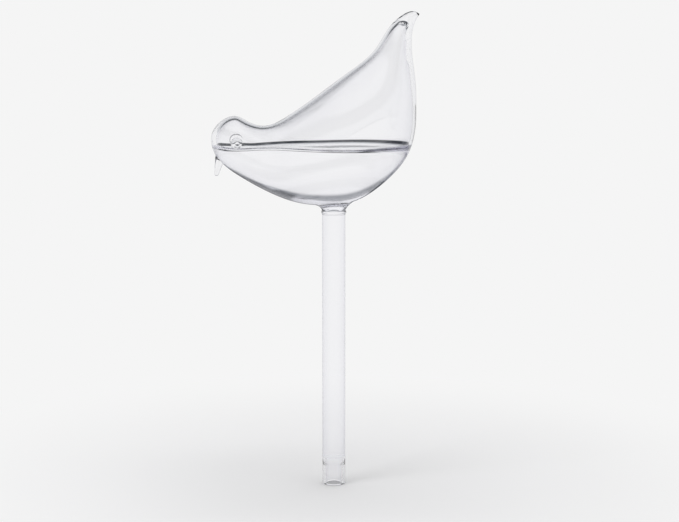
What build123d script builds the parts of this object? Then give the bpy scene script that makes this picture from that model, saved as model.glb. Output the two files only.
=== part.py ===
from build123d import *
from math import asin, degrees
import os

# A hand-blown glass watering globe in the form of a bird, on a long tube that goes into the soil.
# The origin is the centre of the tube's open mouth, +Z runs up the tube and the head points along -X.

# Driving dimensions of the bird, in millimetres
bird_length = 114.0  # front of the head to the rump
bird_height = 107.3  # underside of the belly to the top of the tail
bird_depth = 59.0  # across the body at its widest
head_reach_share = 0.5965  # stem axis to the front of the head
glass_wall = 1.6  # blown wall of the body

# Stem
stem_length = 155.0  # open mouth to the weld
stem_radius = 6.5
bore_radius = 5.0
mouth_radius = 4.5  # the mouth is drawn in a little in the flame
mouth_length = 10.0  # straight stretch of the drawn-in mouth
mouth_taper = 2.0  # height over which the drawn-in mouth opens to the bore
lip_rounding = 0.7  # fire-polished edge of the mouth

# Weld between stem and belly
seal_height = 2.2
seal_bulge = 0.5  # how far the weld ring swells past the stem
neck_height = 3.1  # weld ring to the underside of the belly
neck_spread = 1.5  # how far the neck widens on its way up to the belly
neck_rounding = 5.0  # hollow curve where the neck runs into the belly
bore_rounding = 3.0  # rounded edge where the bore opens into the belly

# Eyes and beak
blob_gap = 0.03  # between a blob of glass and the skin that it sits on
eye_ball_radius = 4.2
eye_swell = 1.3  # how far an eye stands out from the head
beak_length = 8.8  # root on the throat to the tip
beak_root_radius = 2.5
beak_tip_radius = 1.2
beak_lean = 13.0  # degrees forward of straight down

# Water
water_depth = 32.8  # water surface above the underside of the belly
water_gap = 0.05  # keeps the water's solid off the glass
water_stop = 3.0  # bottom of the water column above the drawn-in mouth

weld_level = stem_length + seal_height
belly_level = weld_level + neck_height
mouth_top = lip_rounding + mouth_length
column_foot = mouth_top + mouth_taper + water_stop

# Side view, from the front pole of the head to the tip of the tail.
# Each point is a share of the bird's length from the head and of its height above the belly.
back_shares = [
    (0.000, 0.339),
    (0.035, 0.428),
    (0.123, 0.466),
    (0.182, 0.437),
    (0.260, 0.415),
    (0.360, 0.456),
    (0.520, 0.571),
    (0.680, 0.695),
    (0.800, 0.805),
    (0.860, 0.906),
    (0.925, 0.974),
    (0.983, 0.998),
    (1.015, 0.983),
]
belly_shares = [
    (0.000, 0.339),
    (0.014, 0.280),
    (0.062, 0.214),
    (0.135, 0.157),
    (0.284, 0.068),
    (0.430, 0.012),
    (0.560, 0.000),
    (0.700, 0.020),
    (0.800, 0.079),
    (0.885, 0.156),
    (0.955, 0.250),
    (0.992, 0.366),
    (1.000, 0.497),
    (0.994, 0.648),
    (0.977, 0.793),
    (0.977, 0.870),
    (0.990, 0.935),
    (1.015, 0.983),
]

# Slices of the blown glass: place along both outlines, half width as a share of half the bird's depth,
# and the wall there as a share of the body's, for the glass stays thicker in the head and the tail
slice_shares = [
    (0.010, 0.059, 1.55),
    (0.025, 0.142, 1.55),
    (0.050, 0.268, 1.50),
    (0.085, 0.380, 1.45),
    (0.130, 0.454, 1.35),
    (0.190, 0.505, 1.20),
    (0.250, 0.586, 1.05),
    (0.320, 0.753, 1.00),
    (0.400, 0.915, 1.00),
    (0.480, 0.997, 1.00),
    (0.560, 0.970, 1.00),
    (0.640, 0.847, 1.00),
    (0.710, 0.678, 1.00),
    (0.780, 0.508, 1.05),
    (0.850, 0.370, 1.30),
    (0.910, 0.244, 1.70),
]
nib_root_share = (0.950, 0.156)  # from here to its tip the tail is solid
nib_shares = [(0.970, 0.118), (0.985, 0.082), (0.995, 0.045)]
hollow_end_share = (0.938, 0.183, 0.200)  # end of the hollow, its size as a share of that slice
eye_slice = 4  # row of the slice that the eyes sit on
eye_height_share = 0.59  # how far up that slice they sit
beak_share = 0.056  # place of the beak along the belly outline


def on_side(point_share):
    along, above = point_share
    return ((along - head_reach_share) * bird_length, belly_level + above * bird_height)


with BuildLine(Plane.XZ) as back_line:
    Spline(*[on_side(p) for p in back_shares])

with BuildLine(Plane.XZ) as belly_line:
    Spline(*[on_side(p) for p in belly_shares])


def outline_point(outline, share, inset, inward):
    """Point of an outline at a share of its length, moved into the bird by the inset."""
    edge = outline.edge()
    along = share * edge.length
    place = edge.position_at(along, position_mode=PositionMode.LENGTH)
    heading = edge.tangent_at(along, position_mode=PositionMode.LENGTH)
    return place + Vector(heading.Z, 0, -heading.X) * inward * inset


def slice_ends(share, inset):
    """Top and bottom of the slice between matching points of back and belly."""
    return outline_point(back_line, share, inset, 1), outline_point(belly_line, share, inset, -1)


def half_height(share, inset):
    top, low = slice_ends(share, inset)
    return (top - low).length / 2


def half_width(share, width_share, inset):
    """Half width of a slice, less what the inset takes off its half height."""
    return width_share * bird_depth / 2 - half_height(share, 0) + half_height(share, inset)


def slice_plane(share, inset):
    top, low = slice_ends(share, inset)
    rise = (top - low).normalized()
    return Plane(origin=(top + low) / 2, x_dir=rise, z_dir=rise.cross(Vector(0, 1, 0)))


def bird_slice(share, width_share, inset):
    """Oval slice of the bird, smaller than its outside by the inset all round."""
    with BuildSketch(slice_plane(share, inset)) as oval:
        Ellipse(half_height(share, inset), half_width(share, width_share, inset))
    return oval.sketch


def outer_form(gap):
    """Outside of head, breast, body and tail as one smooth solid, larger than the skin by the gap."""
    head_pole = Vertex(*outline_point(back_line, 0, -gap, 1))
    slices = [bird_slice(share, width, -gap) for share, width, wall in slice_shares]
    with BuildPart() as form:
        loft(sections=[head_pole, *slices, bird_slice(*nib_root_share, -gap)])
    return form.part


def hollow_form(gap):
    """Hollow of the bird inside its wall, smaller than that by the gap all round."""
    head_wall_share = slice_shares[0][2]
    head_pole = Vertex(*outline_point(back_line, 0, glass_wall * head_wall_share + gap, 1))
    slices = [bird_slice(share, width, glass_wall * wall + gap) for share, width, wall in slice_shares]
    place, end_width, end_size = hollow_end_share
    with BuildSketch(slice_plane(place, 0)) as hollow_end:
        Ellipse(half_height(place, 0) * end_size, half_width(place, end_width, 0) * end_size)
    with BuildPart() as space:
        loft(sections=[head_pole, *slices, hollow_end.sketch])
    return space.part


# Blown bird, with the neck that the stem is welded to and the bore that comes up through it
neck_top = belly_level + stem_radius
neck_top_radius = stem_radius + neck_spread * (neck_top - weld_level) / neck_height
bore_top = belly_level + glass_wall + bore_radius
with BuildPart() as bird_shell:
    add(outer_form(0))
    with BuildSketch(Plane.XZ):
        Polygon((0, weld_level), (stem_radius, weld_level), (neck_top_radius, neck_top), (0, neck_top), align=None)
    revolve(axis=Axis.Z)
    fillet(bird_shell.edges(Select.NEW), neck_rounding)
    add(hollow_form(0), mode=Mode.SUBTRACT)
    with BuildSketch(Plane.XY.offset(weld_level)):
        Circle(bore_radius)
    extrude(amount=bore_top - weld_level, mode=Mode.SUBTRACT)
    fillet(bird_shell.edges(Select.NEW).sort_by(Axis.Z)[-1], bore_rounding)

# Solid tip of the tail, drawn out and sealed in the flame
with BuildPart() as tail_nib:
    nib_slices = [bird_slice(share, width, 0) for share, width in [nib_root_share, *nib_shares]]
    loft(sections=[*nib_slices, Vertex(*outline_point(back_line, 1, 0, 1))])

# Tube that goes into the soil, its mouth drawn in and fire polished
with BuildPart() as stem_tube:
    with BuildSketch(Plane.XZ):
        with BuildLine():
            Polyline(
                (stem_radius, 0),
                (stem_radius, stem_length),
                (bore_radius, stem_length),
                (bore_radius, mouth_top + mouth_taper),
                (mouth_radius, mouth_top),
                (mouth_radius, 0),
                close=True,
            )
        wall_profile = make_face()
        fillet(wall_profile.vertices().group_by(Axis.Z)[0], lip_rounding)
    revolve(axis=Axis.Z)

# Ring of glass where tube and belly were melted together
with BuildPart() as stem_seal:
    with BuildSketch(Plane.XZ):
        with BuildLine():
            Polyline(
                (stem_radius, weld_level),
                (bore_radius, weld_level),
                (bore_radius, stem_length),
                (stem_radius, stem_length),
            )
            swell = (stem_radius + seal_bulge, stem_length + seal_height / 2)
            ThreePointArc((stem_radius, stem_length), swell, (stem_radius, weld_level))
        make_face()
    revolve(axis=Axis.Z)

# Beak and eyes are cut to the form of the skin under them
skin = outer_form(blob_gap)

# Beak, a drop of glass pulled down from the throat: a large and a small ball with straight sides between
beak_root = outline_point(belly_line, beak_share, 0, -1)
beak_way = Vector(0, 0, -1).rotate(Axis.Y, beak_lean)
tip_centre = beak_length - beak_tip_radius
side_angle = degrees(asin((beak_root_radius - beak_tip_radius) / tip_centre))
with BuildPart() as beak:
    with BuildSketch(Plane(origin=beak_root, x_dir=(0, 1, 0), z_dir=Vector(0, 1, 0).cross(beak_way))):
        with BuildLine():
            tip_arc = CenterArc((0, tip_centre), beak_tip_radius, side_angle, 90 - side_angle)
            root_arc = CenterArc((0, 0), beak_root_radius, -90, 90 + side_angle)
            Line(tip_arc @ 0, root_arc @ 1)
            Line(root_arc @ 0, tip_arc @ 1)
        make_face()
    revolve(axis=Axis(beak_root, beak_way))
    add(skin, mode=Mode.SUBTRACT)


def eye(side):
    """Blob of glass pressed on the side of the head, side -1 on its left and 1 on its right."""
    share, width_share, wall = slice_shares[eye_slice]
    top, low = slice_ends(share, 0)
    place = low + (top - low) * eye_height_share
    up_slice = 2 * eye_height_share - 1
    reach = half_width(share, width_share, 0) * (1 - up_slice**2) ** 0.5
    with BuildPart() as blob:
        with Locations((place.X, side * (reach + eye_swell - eye_ball_radius), place.Z)):
            Sphere(eye_ball_radius)
        add(skin, mode=Mode.SUBTRACT)
    return blob.part


left_eye = eye(-1)
right_eye = eye(1)

# Water, standing in the bird and down the stem as far as the plug of soil in the mouth
with BuildPart() as water_fill:
    add(hollow_form(water_gap))
    split(bisect_by=Plane.XY.offset(belly_level + water_depth), keep=Keep.BOTTOM)
    with BuildSketch(Plane.XY.offset(column_foot)):
        Circle(bore_radius - water_gap)
    extrude(amount=bore_top - column_foot)
    fillet(water_fill.edges(Select.NEW).sort_by(Axis.Z)[-1], bore_rounding + water_gap)

os.makedirs("parts", exist_ok=True)
bird_shell.part.label = "bird_shell"
export_step(bird_shell.part, "parts/bird_shell.step")
tail_nib.part.label = "tail_nib"
export_step(tail_nib.part, "parts/tail_nib.step")
stem_tube.part.label = "stem_tube"
export_step(stem_tube.part, "parts/stem_tube.step")
stem_seal.part.label = "stem_seal"
export_step(stem_seal.part, "parts/stem_seal.step")
beak.part.label = "beak"
export_step(beak.part, "parts/beak.step")
left_eye.label = "left_eye"
export_step(left_eye, "parts/left_eye.step")
right_eye.label = "right_eye"
export_step(right_eye, "parts/right_eye.step")
water_fill.part.label = "water_fill"
export_step(water_fill.part, "parts/water_fill.step")
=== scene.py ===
import math
import bmesh
import bpy
import numpy as np
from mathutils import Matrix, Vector
from mathutils.bvhtree import BVHTree


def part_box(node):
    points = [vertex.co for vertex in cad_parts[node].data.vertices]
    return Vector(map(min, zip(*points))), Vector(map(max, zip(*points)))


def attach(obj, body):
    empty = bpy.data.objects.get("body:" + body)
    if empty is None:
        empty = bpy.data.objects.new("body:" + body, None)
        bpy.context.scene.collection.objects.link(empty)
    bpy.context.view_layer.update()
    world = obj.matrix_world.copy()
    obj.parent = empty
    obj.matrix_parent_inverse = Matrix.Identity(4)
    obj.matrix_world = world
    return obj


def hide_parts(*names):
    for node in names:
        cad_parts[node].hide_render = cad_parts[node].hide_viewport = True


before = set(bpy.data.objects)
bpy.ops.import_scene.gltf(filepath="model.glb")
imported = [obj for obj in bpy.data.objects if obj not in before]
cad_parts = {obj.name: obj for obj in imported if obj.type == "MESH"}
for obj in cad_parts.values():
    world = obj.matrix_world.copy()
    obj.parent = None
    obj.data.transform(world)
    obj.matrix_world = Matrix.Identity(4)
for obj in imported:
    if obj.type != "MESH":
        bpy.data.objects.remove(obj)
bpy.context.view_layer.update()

# A lamp-worked glass bird that lets its water out slowly: blown body on a long tube, partly full.
# Lengths are in millimetres, and mm turns them into metres.
mm = 0.001
tiny = 1e-12  # keeps divisions away from zero


def levelsOf(node):
    low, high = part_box(node)
    return low[2] / mm, high[2] / mm


weldFoot, weldTop = levelsOf("stem_seal")
columnFoot, waterLevel = levelsOf("water_fill")
stemRadius, stemBore = 6.5, 5.0  # the weld ring and the bird's neck end in them too

# Camera, at the photograph's viewing angle
camera = dict(
    lens=100.51,
    azimuth=-6.0,  # degrees round the stem's axis
    pitch=9.29,  # degrees downwards
    distance=1050.0,
    aside=3.23,  # to the right
    height=300.2,  # above the stem's mouth
    nearest=10.0,
)
turn = math.radians(camera["azimuth"])
backwards = Vector((math.sin(turn), -math.cos(turn), 0))
aside = Vector((math.cos(turn), math.sin(turn), 0))
cameraData = bpy.data.cameras.new("camera")
cameraData.lens = camera["lens"]
cameraData.clip_start = camera["nearest"] * mm
cameraObject = bpy.data.objects.new("camera", cameraData)
place = backwards * camera["distance"] + aside * camera["aside"] + Vector((0, 0, camera["height"]))
cameraObject.location = place * mm
cameraObject.rotation_euler = (math.radians(90 - camera["pitch"]), 0, turn)
bpy.context.scene.collection.objects.link(cameraObject)
bpy.context.scene.camera = cameraObject
print("camera placed")

# The bird's side view and slices, in the shares that the solids use
bird = dict(
    length=114.0,
    height=107.3,
    depth=59.0,
    headReachShare=0.5965,  # stem axis to the front of the head
    belly=weldTop + 3.1,
    wall=1.6,
    rings=230,
    round=180,  # points round each ring
    nibRings=40,
    outlineSteps=6000,
    backShares=[  # share of the length behind the head's front, share of the height above the belly
        (0.000, 0.339), (0.035, 0.428), (0.123, 0.466), (0.182, 0.437), (0.260, 0.415), (0.360, 0.456),
        (0.520, 0.571), (0.680, 0.695), (0.800, 0.805), (0.860, 0.906), (0.925, 0.974), (0.983, 0.998),
        (1.015, 0.983),
    ],
    bellyShares=[
        (0.000, 0.339), (0.014, 0.280), (0.062, 0.214), (0.135, 0.157), (0.284, 0.068), (0.430, 0.012),
        (0.560, 0.000), (0.700, 0.020), (0.800, 0.079), (0.885, 0.156), (0.955, 0.250), (0.992, 0.366),
        (1.000, 0.497), (0.994, 0.648), (0.977, 0.793), (0.977, 0.870), (0.990, 0.935), (1.015, 0.983),
    ],
    widthShares=[  # place along the outlines, half width as a share of half the depth
        (0.000, 0.000), (0.010, 0.059), (0.025, 0.142), (0.050, 0.268), (0.085, 0.380), (0.130, 0.454),
        (0.190, 0.505), (0.250, 0.586), (0.320, 0.753), (0.400, 0.915), (0.480, 0.997), (0.560, 0.970),
        (0.640, 0.847), (0.710, 0.678), (0.780, 0.508), (0.850, 0.370), (0.910, 0.244), (0.950, 0.156),
        (0.970, 0.118), (0.985, 0.082), (0.995, 0.045), (1.000, 0.000),
    ],
    wallShares=[  # the glass stays thicker in the head and the tail
        (0.000, 1.55), (0.050, 1.50), (0.130, 1.35), (0.190, 1.20), (0.250, 1.05), (0.320, 1.00),
        (0.500, 1.00), (0.710, 1.00), (0.780, 1.05), (0.850, 1.30), (0.910, 1.70), (1.000, 2.20),
    ],
    nibRoot=0.950,  # the tail is solid from here to its tip
    hollowNarrows=0.895,  # the hollow runs out between these two places
    hollowEnd=0.944,
    endCrowding=0.65,  # how much the rings crowd towards both ends
)


def curveThrough(steps, values):
    # smooth cubic through the values, its ends turning as the first and last four of them do
    steps, values = np.asarray(steps, float), np.asarray(values, float)
    gaps = np.diff(steps)
    rises = np.diff(values, axis=0) / gaps.reshape(-1, *[1] * (values.ndim - 1))
    count = len(steps)
    matrix, wanted = np.zeros((count, count)), np.zeros_like(values)
    for i in range(1, count - 1):
        matrix[i, i - 1 : i + 2] = 1 / gaps[i - 1], 2 / gaps[i - 1] + 2 / gaps[i], 1 / gaps[i]
        wanted[i] = 3 * (rises[i - 1] / gaps[i - 1] + rises[i] / gaps[i])
    for end, few in ((0, slice(0, 4)), (count - 1, slice(count - 4, count))):
        matrix[end, end] = 1
        cubic = np.polyfit(steps[few] - steps[end], values[few].reshape(4, -1), 3)
        wanted[end] = cubic[2].reshape(values.shape[1:])
    slopes = np.linalg.solve(matrix, wanted.reshape(count, -1)).reshape(values.shape)

    def at(where):
        where = np.asarray(where, float)
        i = np.clip(np.searchsorted(steps, where) - 1, 0, count - 2)
        gap = gaps[i]
        u = (where - steps[i]) / gap
        if values.ndim > 1:
            u, gap = u[:, None], gap[:, None]
        early = values[i] * (1 + 2 * u) * (1 - u) ** 2 + slopes[i] * gap * u * (1 - u) ** 2
        late = values[i + 1] * u**2 * (3 - 2 * u) - slopes[i + 1] * gap * u**2 * (1 - u)
        return early + late

    return at


def runAlong(points):
    return np.concatenate([[0], np.cumsum(np.linalg.norm(np.diff(points, axis=0), axis=1))])


def outline(shares, side):
    # points along the outline, by share of its length, moved into the glass by the inset
    points = [
        ((along - bird["headReachShare"]) * bird["length"], bird["belly"] + above * bird["height"])
        for along, above in shares
    ]
    chords = runAlong(points)
    fine = curveThrough(chords, points)(np.linspace(0, chords[-1], bird["outlineSteps"]))
    run = runAlong(fine)
    heading = np.gradient(fine, run, axis=0)

    def at(share, inset):
        along = np.asarray(share) * run[-1]
        x, z, hx, hz = (np.interp(along, run, c) for c in (*fine.T, *heading.T))
        return np.stack([x + side * hz * inset, z - side * hx * inset], axis=-1)

    return at


backLine = outline(bird["backShares"], 1)
bellyLine = outline(bird["bellyShares"], -1)


def bunched(share):
    # the width runs straight through both poles on this scale
    return 1 - np.sqrt(1 - np.asarray(share, float))


widthPlaces, widths = zip(*bird["widthShares"])
widthAlong = curveThrough(bunched(widthPlaces), widths)
wallAlong = curveThrough(*zip(*bird["wallShares"]))


def ovals(share, inset, scale):
    # centre, half height and half width of the slices, smaller than the outside by the inset
    top, low = backLine(share, inset), bellyLine(share, inset)
    outer = np.linalg.norm(backLine(share, 0) - bellyLine(share, 0), axis=1) / 2
    half = (top - low) / 2
    width = widthAlong(bunched(share)) * bird["depth"] / 2 - outer + np.linalg.norm(half, axis=1)
    return (top + low) / 2, half * scale[:, None], width * scale


# The wall of blown glass is never even, and drawing out the tail leaves faint lines along it
unevenness = dict(
    waves=0.08,
    wavesRound=2,  # in one turn round the bird
    wavesAlong=14,  # radians from head to tail
    wavesStart=1.0,
    twist=9,  # radians that the waves turn from head to tail
    lines=0.07,
    lineCount=11,
    linesStart=0.62,  # share along the bird
    stray=3,  # radians that a line strays
    strayTwist=4,
    deepestShare=0.5,
)


def wallDent(share, angle):
    around = unevenness["wavesRound"] * angle
    along = np.sin(unevenness["wavesAlong"] * share + unevenness["wavesStart"])
    slow = np.sin(around + unevenness["twist"] * share) * along * unevenness["waves"]
    drawn = np.clip((share - unevenness["linesStart"]) / (1 - unevenness["linesStart"]), 0, 1)
    stray = unevenness["stray"] * np.sin(around + unevenness["strayTwist"] * share)
    return slow + np.sin(unevenness["lineCount"] * angle + stray) * unevenness["lines"] * drawn


def birdGrid(share, inset, scale, dent=None):
    # ring of points for each slice; dent is how far each point lies inside the plain oval
    centre, half, width = ovals(share, inset, scale)
    angle = np.linspace(0, 2 * math.pi, bird["round"], endpoint=False)
    x = half[:, :1] * np.cos(angle)
    z = half[:, 1:] * np.cos(angle)
    y = width[:, None] * np.sin(angle)
    if dent is not None:
        reach = np.sqrt(x**2 + y**2 + z**2)
        depth = dent(share[:, None], angle[None, :]) / np.maximum(reach, tiny)
        shrink = 1 - np.minimum(depth, unevenness["deepestShare"])
        x, y, z = x * shrink, y * shrink, z * shrink
    return np.stack([centre[:, :1] + x, y, centre[:, 1:] + z], axis=-1), centre


def toMesh(points, faces):
    mesh = bmesh.new()
    verts = [mesh.verts.new(p) for p in points]
    for face in faces:
        mesh.faces.new([verts[i] for i in face])
    mesh.verts.ensure_lookup_table()
    return mesh


def birdSurface(grid, headPole=None, tailPole=None):
    # skin through the rings of points, brought together at each end that has a pole
    rings, count = grid.shape[:2]
    last = (rings - 1) * count
    points = [tuple(p) for p in grid.reshape(-1, 3)]
    sides = [(j, (j + 1) % count) for j in range(count)]
    faces = []
    for a in range(0, last, count):
        faces += [(a + j, a + k, a + count + k, a + count + j) for j, k in sides]
    if headPole is not None:
        faces += [(len(points), k, j) for j, k in sides]
        points.append((headPole[0], 0, headPole[1]))
    if tailPole is not None:
        faces += [(len(points), last + j, last + k) for j, k in sides]
        points.append((tailPole[0], 0, tailPole[1]))
    mesh = toMesh(points, faces)
    bmesh.ops.recalc_face_normals(mesh, faces=mesh.faces[:])
    return mesh


def cutWhere(mesh, measure, level, clearBelow=False, tolerance=0.01):
    # splits the faces along the line where a measure of the place passes the level
    placeOf = mesh.verts.layers.float_vector.new("place")
    for v in mesh.verts:
        v[placeOf] = v.co
        v.co.z = measure(v.co)
    parts = mesh.verts[:] + mesh.edges[:] + mesh.faces[:]
    bmesh.ops.bisect_plane(
        mesh, geom=parts, dist=tolerance, plane_co=(0, 0, level), plane_no=(0, 0, 1), clear_inner=clearBelow
    )
    for v in mesh.verts:
        v.co = v[placeOf]
    mesh.verts.layers.float_vector.remove(placeOf)


def evenly(count):
    # places from 0 to 1, closer together near both ends
    u = np.linspace(0, 1, count + 2)[1:-1]
    crowding = bird["endCrowding"]
    return crowding * (1 - np.cos(math.pi * u)) / 2 + (1 - crowding) * u


def bend(start, startPull, end, endPull, count):
    # points of a smooth bend between two places, each left and met along its pull
    for i in range(1, count + 1):
        u = i / count
        yield (
            start * (1 - u) ** 3 + (start + startPull) * 3 * u * (1 - u) ** 2
            + (end + endPull) * 3 * u**2 * (1 - u) + end * u**3
        )


# The openings at the stem's axis, in both skins of the bird and in its water, are carried down alike
spout = dict(
    bendSteps=14,
    collarSteps=6,
    lowShare=0.3,  # the cut stays in this lowest part of the bird
    rimSlackShare=1.1,
    cutTolerance=0.05,
)


def addSpout(mesh, footLevel, rimRadius, footRadius, spread, pull, collar, steps=spout["collarSteps"]):
    # carries the rim of a round opening down in a smooth bend to a straight or widening collar
    lowPart = bird["belly"] + spout["lowShare"] * bird["height"]

    def axisDistance(point):
        return math.hypot(point.x, point.y) if point.z < lowPart else 2 * rimRadius

    cutWhere(mesh, axisDistance, rimRadius, clearBelow=True, tolerance=spout["cutTolerance"])
    mesh.normal_update()
    near = rimRadius * spout["rimSlackShare"]
    rim = [v for v in mesh.verts if v.is_boundary and math.hypot(v.co.x, v.co.y) < near]
    rows = []
    for v in sorted(rim, key=lambda v: math.atan2(v.co.y, v.co.x)):
        away = Vector((v.co.x, v.co.y, 0)).normalized()
        normal = v.normal
        tangent = Vector((away.x * normal.z, away.y * normal.z, -normal.dot(away)))
        inward = -tangent.normalized() if tangent.dot(away) > 0 else tangent.normalized()
        up = Vector((away.x * spread, away.y * spread, 1)).normalized()
        foot = Vector((away.x * footRadius, away.y * footRadius, footLevel))
        bendFoot = foot + up * collar
        row = [v]
        for p in bend(v.co.copy(), inward * pull, bendFoot, up * pull, spout["bendSteps"]):
            row.append(mesh.verts.new(p))
        row += [mesh.verts.new(bendFoot.lerp(foot, (i + 1) / steps)) for i in range(steps)]
        rows.append(row)
    for a, b in zip(rows, rows[1:] + rows[:1]):
        for i in range(len(a) - 1):
            mesh.faces.new((a[i], a[i + 1], b[i + 1], b[i]))
    return [row[-1] for row in rows]


def joinMeshes(mesh, other):
    # copies the other mesh into this one
    moved = {v: mesh.verts.new(v.co) for v in other.verts}
    for face in other.faces:
        made = mesh.faces.new([moved[v] for v in face.verts])
        made.material_index = face.material_index
    return moved


def bridge(mesh, ringA, ringB):
    # closes the flat ring between two rims round the stem's axis
    def edgesOf(ring):
        return [mesh.edges.get((a, b)) for a, b in zip(ring, ring[1:] + ring[:1])]

    made = bmesh.ops.bridge_loops(mesh, edges=edgesOf(ringA) + edgesOf(ringB))
    return made["faces"]


sharpAngle = 50  # degrees; flatter edges are shaded smooth
# Places in each piece's list of materials: skin in air, skin joined to what is next to it, skin under water
inAir, joined, wetted = 0, 1, 2


def finishPiece(name, mesh, materials, node, crumb=0.0005):
    # crumb is the length under which an edge would only leave stray faces
    bmesh.ops.triangulate(mesh, faces=[f for f in mesh.faces if len(f.verts) > 4])
    bmesh.ops.dissolve_degenerate(mesh, dist=crumb, edges=mesh.edges[:])
    bmesh.ops.recalc_face_normals(mesh, faces=mesh.faces[:])
    if mesh.calc_volume(signed=True) < 0:
        bmesh.ops.reverse_faces(mesh, faces=mesh.faces[:])
    openEdges = sum(not e.is_manifold for e in mesh.edges)
    for v in mesh.verts:
        v.co *= mm
    data = bpy.data.meshes.new(name)
    mesh.to_mesh(data)
    mesh.free()
    data.shade_smooth()
    data.set_sharp_from_angle(angle=math.radians(sharpAngle))
    for material in materials:
        data.materials.append(material)
    piece = bpy.data.objects.new(name, data)
    bpy.context.scene.collection.objects.link(piece)
    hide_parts(node)
    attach(piece, "root")
    print(name, "made,", len(data.polygons), "faces,", openEdges, "open edges")


# Materials
glass = dict(
    ior=1.474,  # borosilicate
    waterIor=1.333,
    # colour of the skin from looked at squarely, 0, to looked along, 1: painted shade, dark along the skin
    paintedEdgeShade=[
        (0.0, "#fdfdfe"), (0.35, "#f9f9fb"), (0.6, "#f0f0f3"), (0.78, "#e2e2e7"), (0.87, "#9a9ca3"),
        (0.94, "#30333a"), (1.0, "#16181e"),
    ],
    # painted shade on the water's surface: greyer where it is looked along
    waterPaintedEdgeShade=[(0.0, "#fdfdfe"), (0.7, "#f4f5f6"), (1.0, "#c9cbd0")],
)


def linear(hexColour):
    channels = [int(hexColour[i : i + 2], 16) / 255 for i in (1, 3, 5)]
    return [c / 12.92 if c <= 0.04045 else ((c + 0.055) / 1.055) ** 2.4 for c in channels] + [1.0]


def addNode(tree, kind, inputs=None, **settings):
    node = tree.nodes.new(kind)
    for name, value in settings.items():
        setattr(node, name, value)
    for name, value in (inputs or {}).items():
        if isinstance(value, bpy.types.NodeSocket):
            tree.links.new(value, node.inputs[name])
        else:
            node.inputs[name].default_value = value
    return node


def newTree(name):
    material = bpy.data.materials.new(name)
    material.use_nodes = True
    material.node_tree.nodes.clear()
    return material, material.node_tree


def setSteps(ramp, steps):
    # softly joined colours at their places along a ramp
    ramp.color_ramp.interpolation = "EASE"
    stops = ramp.color_ramp.elements
    while len(stops) < len(steps):
        stops.new(0.5)
    for stop, (position, colour) in zip(stops, steps):
        stop.position = position
        stop.color = linear(colour)
    return ramp.outputs["Color"]


def clearGlass(name, ior, steps):
    material, tree = newTree(name)
    # painted shade: the base colour turns darker where the skin is looked along
    grazing = addNode(tree, "ShaderNodeLayerWeight", {"Blend": 0.5})
    ramp = addNode(tree, "ShaderNodeValToRGB", {"Fac": grazing.outputs["Facing"]})
    look = {"Base Color": setSteps(ramp, steps), "Roughness": 0.0, "IOR": ior, "Transmission Weight": 1.0}
    shader = addNode(tree, "ShaderNodeBsdfPrincipled", look)
    addNode(tree, "ShaderNodeOutputMaterial", {"Surface": shader.outputs["BSDF"]})
    return material


def fusedJoint(name):
    material, tree = newTree(name)
    shader = addNode(tree, "ShaderNodeBsdfPrincipled", {"Alpha": 0.0, "Roughness": 1.0, "IOR": 1.0})
    addNode(tree, "ShaderNodeOutputMaterial", {"Surface": shader.outputs["BSDF"]})
    return material


# Blown and fire polished, so clear and perfectly smooth: painted shade darkens its colour into grey lines
# where the eye looks along the skin
blownGlass = clearGlass("blown borosilicate, fire polished", glass["ior"], glass["paintedEdgeShade"])
# Drawn out as a tube, so it is straight and even, and the eye sees two clean edge lines, partly painted
# shade
drawnGlass = clearGlass("drawn borosilicate tube", glass["ior"], glass["paintedEdgeShade"])
# Rod melted on in the flame: small round lenses, a dark ring round a bright middle, the ring partly painted
# shade
workedGlass = clearGlass("borosilicate rod, flame worked", glass["ior"], glass["paintedEdgeShade"])
# Under water glass bends light much less, so its inner face nearly goes out of sight; it has the same
# painted edge shade
wettedGlass = clearGlass("borosilicate wetted by water", glass["ior"] / glass["waterIor"], glass["paintedEdgeShade"])
# Still water, left as it is: a flat mirror at low angles, with a dark line where it climbs the glass, and
# painted shade greying it where it is looked along
waterSkin = clearGlass("still water, open surface", glass["waterIor"], glass["waterPaintedEdgeShade"])
# Two glasses melted into one: the eye finds no skin between them
meltedJoint = fusedJoint("borosilicate melted together")
# Water lying on glass: nothing to see, because the wetted glass already bends the light
waterSide = fusedJoint("water against wetted glass")
print("materials made")

# Eyes and beak, as places on the skin
eye = dict(
    place=0.130,  # share along the outlines
    height=0.59,  # share of the slice there
    radius=4.2,
    swell=1.3,
    fullness=3,  # a higher power makes the blob flatter on top and steeper at its rim
    dimple=0.30,
    dimpleShare=0.32,  # share of the blob's radius
    press=0.7,  # the hot blob pressed the wall in a little
    pressSpread=2.3,
    pressReach=3,  # in radii of the eye
)
beak = dict(
    place=0.056,  # share along the outlines
    length=8.8,
    rootRadius=2.5,
    tipRadius=1.2,
    lean=13.0,  # degrees forwards
    around=64,
    tipSteps=12,
    sideSteps=16,
)


def eyeCentre(side):
    share = np.array([eye["place"]])
    top, low = backLine(share, 0)[0], bellyLine(share, 0)[0]
    x, z = low + (top - low) * eye["height"]
    width = widthAlong(bunched(share))[0] * bird["depth"] / 2
    reach = width * math.sqrt(1 - (2 * eye["height"] - 1) ** 2)
    return Vector((x, side * (reach + eye["swell"] - eye["radius"]), z))


eyes = {side: eyeCentre(side) for side in (-1, 1)}
rootX, rootZ = bellyLine([beak["place"]], 0)[0]
beakRoot = Vector((rootX, 0, rootZ))
beakLean = math.radians(beak["lean"])
beakWay = Vector((-math.sin(beakLean), 0, -math.cos(beakLean)))
beakTip = beak["length"] - beak["tipRadius"]  # root to the centre of the tip's ball
beakSlope = math.asin((beak["rootRadius"] - beak["tipRadius"]) / beakTip)


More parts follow.
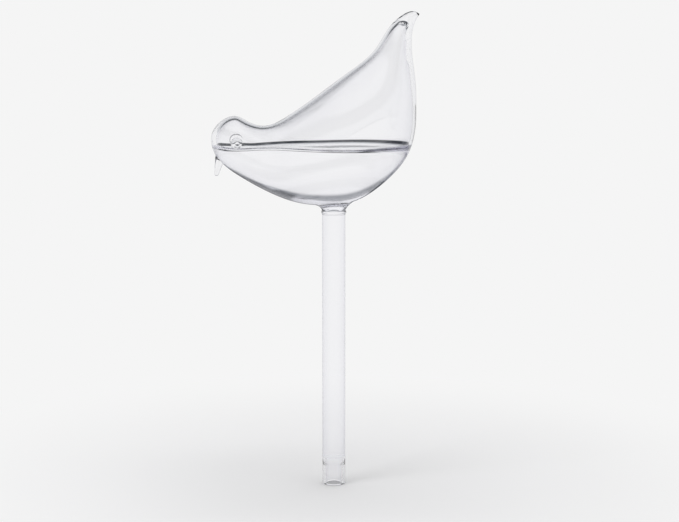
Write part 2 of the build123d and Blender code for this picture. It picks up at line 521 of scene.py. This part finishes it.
def beakReach(along):
    # radius of the beak at a distance from its root
    rootEnd = beak["rootRadius"] * math.sin(beakSlope)
    tipStart = beakTip + beak["tipRadius"] * math.sin(beakSlope)
    if along < rootEnd:
        return math.sqrt(max(beak["rootRadius"] ** 2 - along**2, 0))
    if along > tipStart:
        return math.sqrt(max(beak["tipRadius"] ** 2 - (along - beakTip) ** 2, 0))
    return (beak["rootRadius"] - along * math.sin(beakSlope)) / math.cos(beakSlope)


def offBeak(point):
    # how far a point lies outside the beak's own form, roughly where it is far away
    step = point - beakRoot
    if step.length > 2 * beak["length"]:
        return step.length
    along = step.dot(beakWay)
    return (step - beakWay * along).length - beakReach(along)


# Blown bird: outer skin
outerShare = np.append(evenly(bird["rings"]), 1) * bird["nibRoot"]
outerGrid = birdGrid(outerShare, 0, np.ones(len(outerShare)))[0]
skin = birdSurface(outerGrid, headPole=backLine([0.0], 0)[0])
skinTree = BVHTree.FromBMesh(skin)
for side, middle in eyes.items():
    cutWhere(skin, lambda p, c=middle: (p - c).length, eye["radius"])
cutWhere(skin, offBeak, 0.0)
eyePatches = {side: [] for side in eyes}
for face in skin.faces:
    point = face.calc_center_median()
    face.material_index = joined if offBeak(point) < 0 else inAir
    for side, middle in eyes.items():
        if (point - middle).length < eye["radius"]:
            face.material_index = joined
            eyePatches[side].append([v.co.copy() for v in face.verts])

neck = dict(
    rimRadius=12.0,
    footRadius=stemRadius,
    spread=0.484,  # how much the radius grows for each millimetre up the collar
    pull=2.4,
    collar=0.3,
)
skinFoot = addSpout(skin, weldTop, **neck)
highPart = bird["belly"] + bird["height"] / 2
nibRing = [v for v in skin.verts if v.is_boundary and v.co.z > highPart]
skin.faces.new(sorted(nibRing, key=lambda v: v.index)).material_index = joined

# Blown bird: hollow inside, with the bore that comes up from the stem
hollow = dict(rimRadius=8.3, footRadius=stemBore, spread=0, pull=1.7, collar=1.2)


def hollowSurface(gap):
    share = evenly(bird["rings"]) * bird["hollowEnd"]
    late = np.clip((share - bird["hollowNarrows"]) / (bird["hollowEnd"] - bird["hollowNarrows"]), 0, 1)
    inset = bird["wall"] * wallAlong(share) + gap
    grid, centre = birdGrid(share, inset, np.sqrt(1 - late**2), wallDent)
    return birdSurface(grid, centre[0], centre[-1])


# Water climbs clean glass. The solid's flat top stands halfway up the climb.
meniscus = dict(
    capillary=2.72,  # capillary length of water
    contactAngle=8.0,  # degrees
    samples=400,
    lowestShare=0.001,  # the curve ends at this share of its rise, as it never gets quite flat
)
wallRise = meniscus["capillary"] * math.sqrt(2 - 2 * math.sin(math.radians(meniscus["contactAngle"])))
stillLevel = waterLevel - wallRise / 2
contactLevel = waterLevel + wallRise / 2


def climb(distance, lean):
    # height of the water over its still level at a distance from where it meets a leaning wall
    double = 2 * meniscus["capillary"]
    heights = wallRise * np.linspace(1, meniscus["lowestShare"], meniscus["samples"])
    away = meniscus["capillary"] * np.arccosh(double / heights) - np.sqrt(double**2 - heights**2)
    return np.interp(distance, away - away[0] + (wallRise - heights) * lean, heights)


inside = hollowSurface(0)
for v in inside.verts:
    for side, middle in eyes.items():
        out = math.hypot(v.co.x - middle.x, v.co.z - middle.z)
        if v.co.y * side > 0 and out < eye["pressReach"] * eye["radius"]:
            v.co.y -= side * eye["press"] * math.exp(-((out / eye["pressSpread"]) ** 2))
cutWhere(inside, lambda p: p.z, contactLevel)
insideFoot = addSpout(inside, weldTop, **hollow)
for face in inside.faces:
    face.material_index = wetted if face.calc_center_median().z < contactLevel else inAir
moved = joinMeshes(skin, inside)
inside.free()
for face in bridge(skin, skinFoot, [moved[v] for v in insideFoot]):
    face.material_index = joined
finishPiece("blownBird", skin, [blownGlass, meltedJoint, wettedGlass], "bird_shell")

# Solid tip of the tail
nibShare = bird["nibRoot"] + (1 - bird["nibRoot"]) * np.append([0], evenly(bird["nibRings"]))
nibGrid = birdGrid(nibShare, 0, np.ones(len(nibShare)))[0]
nib = birdSurface(nibGrid, tailPole=backLine([1.0], 0)[0])
nib.faces.new(nib.verts[: bird["round"]]).material_index = joined
finishPiece("tailNib", nib, [blownGlass, meltedJoint], "tail_nib")


# Stem and weld ring
def turned(profile, around=128):
    # closed profile of (radius, height, kind of skin) turned round the stem's axis
    points, faces, kinds = [], [], []
    for i, (radius, height, kind) in enumerate(profile):
        a, b = i * around, (i + 1) % len(profile) * around
        for j in range(around):
            angle, k = 2 * math.pi * j / around, (j + 1) % around
            points.append((radius * math.cos(angle), radius * math.sin(angle), height))
            faces.append((a + j, a + k, b + k, b + j))
            kinds.append(kind)
    mesh = toMesh(points, faces)
    for face, kind in zip(mesh.faces, kinds):
        face.material_index = kind
    return mesh


def straight(start, end, steps, kind):
    for i in range(steps):
        u = i / steps
        yield (start[0] + (end[0] - start[0]) * u, start[1] + (end[1] - start[1]) * u, kind)


stem = dict(
    mouth=4.5,  # radius of the mouth, which is drawn in a little in the flame
    mouthTop=10.7,
    boreStart=12.7,
    lip=0.7,  # radius of the fire-polished edges
    wallStart=3.0,  # lowest ring of the outer wall
    mouthStart=1.0,  # lowest ring of the drawn-in mouth
    lipSteps=8,
    wallSteps=40,
    columnSteps=40,
    emptySteps=2,  # between the water and the drawn-in mouth
    taperSteps=3,
    mouthSteps=4,
)


def lipArc(middle, start, end):
    for i in range(stem["lipSteps"] + 1):
        angle = math.radians(start + (end - start) * i / stem["lipSteps"])
        yield (middle + stem["lip"] * math.cos(angle), stem["lip"] + stem["lip"] * math.sin(angle), inAir)


mouth = stem["mouth"]
tube = turned([
    *lipArc(mouth + stem["lip"], 180, 270),
    *lipArc(stemRadius - stem["lip"], 270, 360),
    *straight((stemRadius, stem["wallStart"]), (stemRadius, weldFoot), stem["wallSteps"], inAir),
    (stemRadius, weldFoot, joined),
    *straight((stemBore, weldFoot), (stemBore, columnFoot), stem["columnSteps"], wetted),
    *straight((stemBore, columnFoot), (stemBore, stem["boreStart"]), stem["emptySteps"], inAir),
    *straight((stemBore, stem["boreStart"]), (mouth, stem["mouthTop"]), stem["taperSteps"], inAir),
    *straight((mouth, stem["mouthTop"]), (mouth, stem["mouthStart"]), stem["mouthSteps"], inAir),
])
finishPiece("stemTube", tube, [drawnGlass, meltedJoint, wettedGlass], "stem_tube")

weld = dict(bulge=0.5, steps=12, boreSteps=4)


def weldSwell():
    for i in range(weld["steps"]):
        swing = math.pi * i / weld["steps"]
        level = weldFoot + (weldTop - weldFoot) * (1 - math.cos(swing)) / 2
        yield (stemRadius + weld["bulge"] * math.sin(swing), level, inAir)


seal = turned([
    *weldSwell(),
    (stemRadius, weldTop, joined),
    *straight((stemBore, weldTop), (stemBore, weldFoot), weld["boreSteps"], wetted),
    (stemBore, weldFoot, joined),
])
finishPiece("weldRing", seal, [drawnGlass, meltedJoint, wettedGlass], "stem_seal")

# Eye blobs: the skin's own patch below, the same patch swollen above it
for side, name, node in ((-1, "leftEyeBlob", "left_eye"), (1, "rightEyeBlob", "right_eye")):
    middle = eyes[side]
    blob = bmesh.new()
    for corners in eyePatches[side]:
        blob.faces.new([blob.verts.new(p) for p in corners]).material_index = joined
    bmesh.ops.remove_doubles(blob, verts=blob.verts[:], dist=0.001)
    bmesh.ops.subdivide_edges(blob, edges=blob.edges[:], cuts=2, use_grid_fill=True)
    base = blob.faces[:]
    rim = {v for v in blob.verts if v.is_boundary}
    rimRadius = math.sqrt(eye["radius"] ** 2 - (eye["radius"] - eye["swell"]) ** 2)
    lifted = {}
    for v in blob.verts[:]:
        if v in rim:
            lifted[v] = v
            continue
        out = min(math.hypot(v.co.x - middle.x, v.co.z - middle.z) / rimRadius, 1)
        swell = eye["swell"] * math.sqrt(1 - out ** eye["fullness"])
        swell -= eye["dimple"] * math.exp(-((out / eye["dimpleShare"]) ** 2))
        lifted[v] = blob.verts.new(v.co + Vector((0, side * swell, 0)))
    for face in base:
        blob.faces.new([lifted[v] for v in reversed(face.verts[:])]).material_index = inAir
    finishPiece(name, blob, [workedGlass, meltedJoint], node)

# Beak: from its tip's ball up its straight sides to where they meet the skin
sideways = Vector((0, 1, 0))
across = beakWay.cross(sideways).normalized()
points, faces = [], []
for j in range(beak["around"]):
    angle = 2 * math.pi * j / beak["around"]
    out = sideways * math.cos(angle) + across * math.sin(angle)
    for i in range(1, beak["tipSteps"] + 1):
        swing = beakSlope + (math.pi / 2 - beakSlope) * (1 - i / beak["tipSteps"])
        along = beakWay * (beakTip + beak["tipRadius"] * math.sin(swing))
        points.append(beakRoot + along + out * beak["tipRadius"] * math.cos(swing))
    start = points[-1]
    along = beakWay * beak["rootRadius"] * math.sin(beakSlope)
    rootPoint = beakRoot + along + out * beak["rootRadius"] * math.cos(beakSlope)
    hit = skinTree.ray_cast(start, (rootPoint - start).normalized())[0] or rootPoint
    points += [start.lerp(hit, i / beak["sideSteps"]) for i in range(1, beak["sideSteps"] + 1)]
row = beak["tipSteps"] + beak["sideSteps"]
tip, heart = len(points), len(points) + 1
points += [beakRoot + beakWay * beak["length"], beakRoot]
for j in range(beak["around"]):
    a, b = j * row, (j + 1) % beak["around"] * row
    faces.append((tip, b, a))
    faces += [(a + i, b + i, b + i + 1, a + i + 1) for i in range(row - 1)]
    faces.append((heart, a + row - 1, b + row - 1))
drop = toMesh(points, faces)
for face in drop.verts[heart].link_faces:
    face.material_index = joined
finishPiece("beakDrop", drop, [workedGlass, meltedJoint], "beak")

# Water: its side a hair off the glass, its top drawn from the shore to a line in the middle
water = dict(
    gap=0.05,
    columnSteps=40,
    rings=32,
    power=2.2,  # crowds the rings towards the shore
    slotShare=0.985,  # the last ring leaves a narrow slot round the middle line
    frontEnd=6.0,  # the middle line stops this far from the front of the pool
    rearEnd=24.0,
    crumb=0.02,
)
body = hollowSurface(water["gap"])
cutWhere(body, lambda p: -p.z, -contactLevel, clearBelow=True)
column = dict(
    rimRadius=hollow["rimRadius"] + water["gap"],
    footRadius=hollow["footRadius"] - water["gap"],
    spread=hollow["spread"],
    pull=hollow["pull"],
    collar=weldTop + hollow["collar"] - columnFoot,
    steps=water["columnSteps"],
)
bodyFoot = addSpout(body, columnFoot, **column)
for face in body.faces:
    face.material_index = joined
shore = [v for v in body.verts if v.is_boundary and v.co.z > stillLevel]
ring, seen = [shore[0]], {shore[0]}
while True:
    neighbours = [e.other_vert(ring[-1]) for e in ring[-1].link_edges if e.is_boundary]
    ahead = [v for v in neighbours if v not in seen]
    if not ahead:
        break
    ring.append(ahead[0])
    seen.add(ahead[0])
edgeLine = np.array([(v.co.x, v.co.y) for v in ring])
front, rear = edgeLine[:, 0].min() + water["frontEnd"], edgeLine[:, 0].max() - water["rearEnd"]
middleLine = np.stack([np.clip(edgeLine[:, 0], front, rear), np.zeros(len(ring))], axis=1)
wallTree = BVHTree.FromBMesh(body)


def shoreDistance(points):
    best = np.full(len(points), np.inf)
    for start, step in zip(edgeLine, np.roll(edgeLine, -1, axis=0) - edgeLine):
        u = np.clip(((points - start) @ step) / max(step @ step, tiny), 0, 1)
        best = np.minimum(best, np.linalg.norm(points - start - u[:, None] * step, axis=1))
    return best


def wallLean(edge, middle):
    # how far the wall comes in for each millimetre down from the water's edge
    start = Vector((*middle, stillLevel))
    reach = Vector((*(edge - middle), 0))
    hit = wallTree.ray_cast(start, reach.normalized())[0]
    return max(reach.length - (hit - start).length, 0) / wallRise if hit else 0


leans = [wallLean(edge, middle) for edge, middle in zip(edgeLine, middleLine)]
rows = [ring]
for i in range(1, water["rings"] + 1):
    u = water["slotShare"] * (i / water["rings"]) ** water["power"]
    flat = edgeLine + (middleLine - edgeLine) * u
    rise = [climb(far, lean) for far, lean in zip(shoreDistance(flat), leans)]
    rows.append([body.verts.new((x, y, stillLevel + h)) for (x, y), h in zip(flat, rise)])
for a, b in zip(rows, rows[1:]):
    for j in range(len(ring)):
        k = (j + 1) % len(ring)
        body.faces.new((a[j], a[k], b[k], b[j])).material_index = inAir
for loop in (rows[-1], bodyFoot):  # the narrow slot in the middle, and the column's foot
    body.faces.new(loop).material_index = inAir
finishPiece("waterInside", body, [waterSkin, waterSide], "water_fill", water["crumb"])

# Floor, light and background
studio = dict(
    white="#f5f5f5",
    floor="#f2f2f3",
    floorRoughness=0.7,
    floorRadius=300.0,
    floorSides=96,
    floorGap=0.2,  # below the stem's mouth
    plainFrom=50.0,  # the floor's paint turns to the plain background between these distances
    plainTo=280.0,
    plainLeast=0.2,
    worldFill=0.45,
    straightCrossings=4,  # two walls, each with two faces
    # colour of the surroundings by height, from 0 straight down to 1 straight up
    mildBands=[(0.70, "#f5f5f5"), (0.76, "#8f9297"), (0.84, "#8f9297"), (0.90, "#f5f5f5")],
    darkBands=[
        (0.24, "#c4c6ca"), (0.27, "#3a3d42"), (0.34, "#3a3d42"), (0.37, "#f5f5f5"), (0.60, "#f5f5f5"),
        (0.66, "#d2d4d7"), (0.72, "#d2d4d7"), (0.76, "#4a4d52"), (0.86, "#4a4d52"), (0.90, "#ececee"),
        (0.94, "#ffffff"),
    ],
)


def seenDirectly(tree):
    # camera, mirror and see-through rays all meet the plain background
    rays = addNode(tree, "ShaderNodeLightPath").outputs
    seen = rays["Is Camera Ray"]
    for other in (rays["Is Glossy Ray"], rays["Is Transmission Ray"]):
        seen = addNode(tree, "ShaderNodeMath", {0: seen, 1: other}, operation="MAXIMUM").outputs[0]
    return seen


# Matt wall paint on a board: even and pale, with no gloss, so that only the soft shadow shows
floorMaterial, tree = newTree("pale painted floor")
plain = addNode(tree, "ShaderNodeEmission", {"Color": linear(studio["white"]), "Strength": 1.0})
paint = {"Base Color": linear(studio["floor"]), "Roughness": studio["floorRoughness"]}
painted = addNode(tree, "ShaderNodeBsdfPrincipled", paint)
spot = addNode(tree, "ShaderNodeNewGeometry")
distance = addNode(tree, "ShaderNodeVectorMath", {0: spot.outputs["Position"]}, operation="LENGTH")
fading = {
    "Value": distance.outputs["Value"],
    "From Min": studio["plainFrom"] * mm,
    "From Max": studio["plainTo"] * mm,
    "To Min": studio["plainLeast"],
    "To Max": 1.0,
}
faded = addNode(tree, "ShaderNodeMapRange", fading, interpolation_type="SMOOTHSTEP")
factors = {0: faded.outputs[0], 1: seenDirectly(tree)}
plainPart = addNode(tree, "ShaderNodeMath", factors, operation="MULTIPLY")
parts = {0: plainPart.outputs[0], 1: painted.outputs[0], 2: plain.outputs[0]}
floorLook = addNode(tree, "ShaderNodeMixShader", parts)
addNode(tree, "ShaderNodeOutputMaterial", {"Surface": floorLook.outputs[0]})

ground = bmesh.new()
floorRadius = studio["floorRadius"] * mm
bmesh.ops.create_circle(ground, cap_ends=True, radius=floorRadius, segments=studio["floorSides"])
floorData = bpy.data.meshes.new("floor")
ground.to_mesh(floorData)
ground.free()
floorData.materials.append(floorMaterial)
floorObject = bpy.data.objects.new("floor", floorData)
floorObject.location.z = -studio["floorGap"] * mm
bpy.context.scene.collection.objects.link(floorObject)

# Straight through two walls of glass the studio is pale, with one soft band high up. Mirrored light, and
# light that crosses more faces as at the water's surface, meets dark bands, which draw the glass's lines.
world = bpy.data.worlds.new("studio")
bpy.context.scene.world = world
world.use_nodes = True
tree = world.node_tree
tree.nodes.clear()
direction = addNode(tree, "ShaderNodeTexCoord")
axes = addNode(tree, "ShaderNodeSeparateXYZ", {0: direction.outputs["Generated"]})
slope = {"Value": axes.outputs["Z"], "From Min": -1.0, "From Max": 1.0}
upwards = addNode(tree, "ShaderNodeMapRange", slope)
mildRamp = addNode(tree, "ShaderNodeValToRGB", {"Fac": upwards.outputs[0]})
darkRamp = addNode(tree, "ShaderNodeValToRGB", {"Fac": upwards.outputs[0]})
mildSky, darkSky = setSteps(mildRamp, studio["mildBands"]), setSteps(darkRamp, studio["darkBands"])
rays = addNode(tree, "ShaderNodeLightPath").outputs
half = 0.5  # both depths are whole numbers, and this lies between two of them
mirrorings = {0: rays["Glossy Depth"], 1: half}
mirrored = addNode(tree, "ShaderNodeMath", mirrorings, operation="GREATER_THAN")
crossings = {0: rays["Transmission Depth"], 1: studio["straightCrossings"] + half}
crossedMore = addNode(tree, "ShaderNodeMath", crossings, operation="GREATER_THAN")
either = {0: mirrored.outputs[0], 1: crossedMore.outputs[0]}
bent = addNode(tree, "ShaderNodeMath", either, operation="MAXIMUM")
skies = {"Factor": bent.outputs[0], "A": mildSky, "B": darkSky}
glassSky = addNode(tree, "ShaderNodeMix", skies, data_type="RGBA")
byCamera = {"Factor": rays["Is Camera Ray"], "A": glassSky.outputs["Result"], "B": linear(studio["white"])}
plainSky = addNode(tree, "ShaderNodeMix", byCamera, data_type="RGBA")
shown = addNode(tree, "ShaderNodeBackground", {"Color": plainSky.outputs["Result"], "Strength": 1.0})
fill = addNode(tree, "ShaderNodeBackground", {"Color": linear("#ffffff"), "Strength": studio["worldFill"]})
backgrounds = {0: seenDirectly(tree), 1: fill.outputs[0], 2: shown.outputs[0]}
worldLook = addNode(tree, "ShaderNodeMixShader", backgrounds)
addNode(tree, "ShaderNodeOutputWorld", {"Surface": worldLook.outputs[0]})

# Two soft lamps for the floor and its shadow
lamps = dict(
    overhead=dict(place=(100.0, 0.0, 1300.0), size=900.0, power=7.0),
    left=dict(place=(-900.0, -500.0, 800.0), size=600.0, power=4.0),
)
lampTarget = Vector((0, 0, 130.0))
for name, lamp in lamps.items():
    light = bpy.data.lights.new(name, "AREA")
    light.shape = "SQUARE"
    light.size = lamp["size"] * mm
    light.energy = lamp["power"]
    holder = bpy.data.objects.new(name, light)
    holder.location = [part * mm for part in lamp["place"]]
    holder.visible_glossy = False  # the glass mirrors the bands above and not the lamps
    holder.visible_transmission = False
    holder.rotation_euler = (lampTarget * mm - holder.location).to_track_quat("-Z", "Y").to_euler()
    bpy.context.scene.collection.objects.link(holder)
bpy.context.scene.view_settings.view_transform = "Standard"

# Light caught in glass and water turns many times before it gets out
turns = dict(transparent_max_bounces=64, glossy_bounces=16, transmission_bounces=24, max_bounces=32)
for name, most in turns.items():
    setattr(bpy.context.scene.cycles, name, most)
print("studio set")
